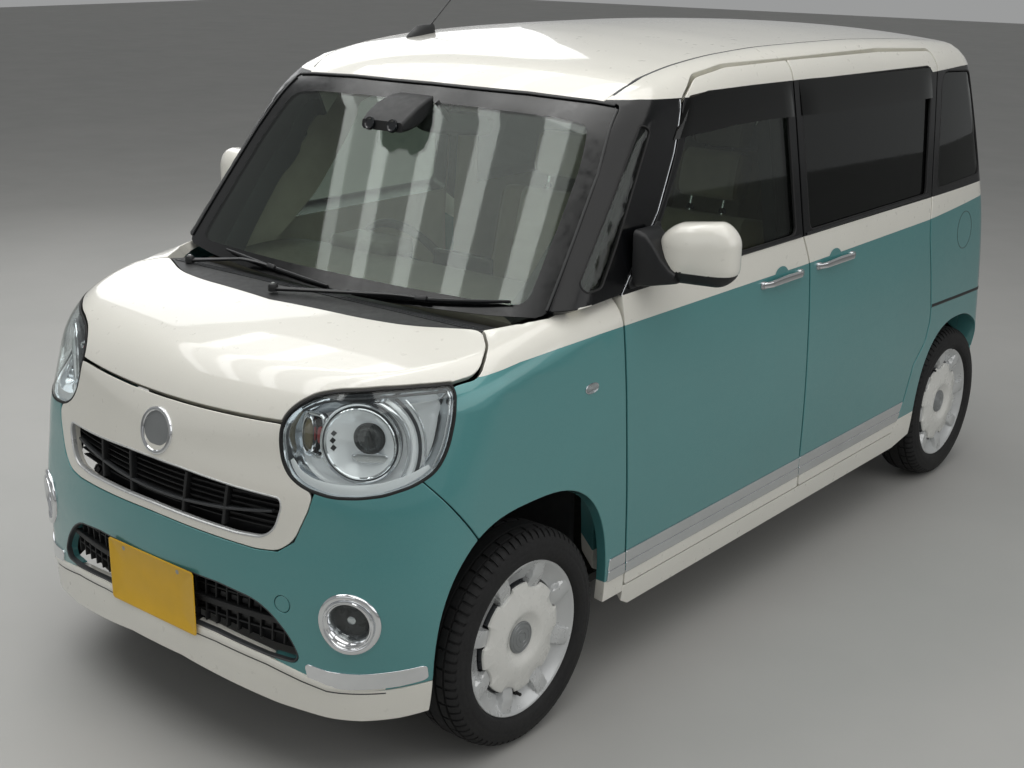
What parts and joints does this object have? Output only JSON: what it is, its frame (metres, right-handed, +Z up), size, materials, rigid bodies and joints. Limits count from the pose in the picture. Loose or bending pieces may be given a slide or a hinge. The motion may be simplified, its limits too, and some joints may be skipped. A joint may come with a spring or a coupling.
{
  "type": "kei car",
  "caption": "Small two-tone kei wagon with hinged front doors, closed sliding rear doors, tailgate, hood, steered front wheels and a hollow cabin with seats.",
  "frame": {"origin": "centre of the bounding box's bottom face, on the floor under the tyres", "axes": "+Z up, the front faces -Y, the car's left side is +X"},
  "size_m": [1.913, 3.3951, 1.7603],
  "materials": {
    "paint_teal": "gloss",
    "paint_white": "pearl gloss",
    "black_plastic": "grained",
    "lamp_lens": "clear",
    "red_lens": "gloss",
    "clear_glass": "clear",
    "dark_glass": "privacy tint",
    "seat_fabric": "woven",
    "trim_plastic": "grained",
    "cast_metal": "cast",
    "black_steel": "satin",
    "steel": "dull",
    "under_paint": "matt",
    "plate_paint": "satin",
    "tyre": "matt",
    "wheel_silver": "satin silver"
  },
  "bodies": {
    "body": {"body_sides": "paint_teal", "roof_panel": "paint_white", "front_fenders": "paint_teal", "front_bumper": "paint_teal", "grille_panel": "paint_white", "grille_inserts": "black_plastic", "front_lip": "paint_white", "headlights": "lamp_lens", "fog_lamps": "lamp_lens", "tail_lights": "red_lens", "windscreen": "clear_glass", "cowl_panel": "black_plastic", "wipers": "black_plastic", "roof_antenna": "black_plastic", "quarter_glass": "dark_glass", "rear_bumper": "paint_teal", "front_seats": "seat_fabric", "rear_seat": "seat_fabric", "dashboard": "trim_plastic", "engine_block": "cast_metal", "front_suspension": "black_steel", "rear_axle": "black_steel", "exhaust": "steel", "floor_pan": "under_paint", "front_structure": "under_paint", "sliding_doors": "paint_teal", "sliding_door_glass": "dark_glass", "front_plate": "plate_paint"},
    "steering_wheel": {"steering_wheel": "trim_plastic"},
    "left_knuckle": {"knuckle_left": "black_steel"},
    "right_knuckle": {"knuckle_right": "black_steel"},
    "front_left_wheel": {"tyre_front_left": "tyre", "wheel_front_left": "wheel_silver"},
    "front_right_wheel": {"tyre_front_right": "tyre", "wheel_front_right": "wheel_silver"},
    "rear_left_wheel": {"tyre_rear_left": "tyre", "wheel_rear_left": "wheel_silver"},
    "rear_right_wheel": {"tyre_rear_right": "tyre", "wheel_rear_right": "wheel_silver"},
    "left_front_door": {"front_door_left": "paint_teal", "front_door_glass_left": "clear_glass", "mirror_left": "paint_white"},
    "right_front_door": {"front_door_right": "paint_teal", "front_door_glass_right": "clear_glass", "mirror_right": "paint_white"},
    "tailgate": {"tailgate": "paint_teal", "tailgate_glass": "dark_glass", "rear_plate": "plate_paint"},
    "hood": {"hood": "paint_white"}
  },
  "joints": [
    {"name": "steer_left", "type": "hinge", "parent": "body", "child": "left_knuckle", "pos_m": [0.627, -1.137, 0.2785], "axis": [0, 0, 1], "range_deg": [-35, 35]},
    {"name": "steer_right", "type": "hinge", "parent": "body", "child": "right_knuckle", "pos_m": [-0.627, -1.137, 0.2785], "axis": [0, 0, 1], "range_deg": [-35, 35]},
    {"name": "steering_wheel_turn", "type": "hinge", "parent": "body", "child": "steering_wheel", "pos_m": [-0.3, -0.455, 0.925], "axis": [0, 0.8829, 0.4695], "range_deg": [-560, 560]},
    {"name": "front_left_spin", "type": "hinge", "parent": "left_knuckle", "child": "front_left_wheel", "pos_m": [0.6525, -1.137, 0.2785], "axis": [1, 0, 0], "continuous": true},
    {"name": "front_right_spin", "type": "hinge", "parent": "right_knuckle", "child": "front_right_wheel", "pos_m": [-0.6525, -1.137, 0.2785], "axis": [1, 0, 0], "continuous": true},
    {"name": "rear_left_spin", "type": "hinge", "parent": "body", "child": "rear_left_wheel", "pos_m": [0.6475, 1.318, 0.2785], "axis": [1, 0, 0], "continuous": true},
    {"name": "rear_right_spin", "type": "hinge", "parent": "body", "child": "rear_right_wheel", "pos_m": [-0.6475, 1.318, 0.2785], "axis": [1, 0, 0], "continuous": true},
    {"name": "front_door_left_hinge", "type": "hinge", "parent": "body", "child": "left_front_door", "pos_m": [0.7375, -0.766, 0.6], "axis": [0, 0, -1], "range_deg": [0, 65]},
    {"name": "front_door_right_hinge", "type": "hinge", "parent": "body", "child": "right_front_door", "pos_m": [-0.7375, -0.766, 0.6], "axis": [0, 0, 1], "range_deg": [0, 65]},
    {"name": "tailgate_hinge", "type": "hinge", "parent": "body", "child": "tailgate", "pos_m": [0, 1.447, 1.6], "axis": [1, 0, 0], "range_deg": [0, 80]},
    {"name": "hood_hinge", "type": "hinge", "parent": "body", "child": "hood", "pos_m": [0, -1.139, 1.05], "axis": [-1, 0, 0], "range_deg": [0, 50]}
  ],
  "couplings": [
    {"joint": "steer_right", "follows": "steer_left", "ratio": 1},
    {"joint": "steering_wheel_turn", "follows": "steer_left", "ratio": 16}
  ]
}
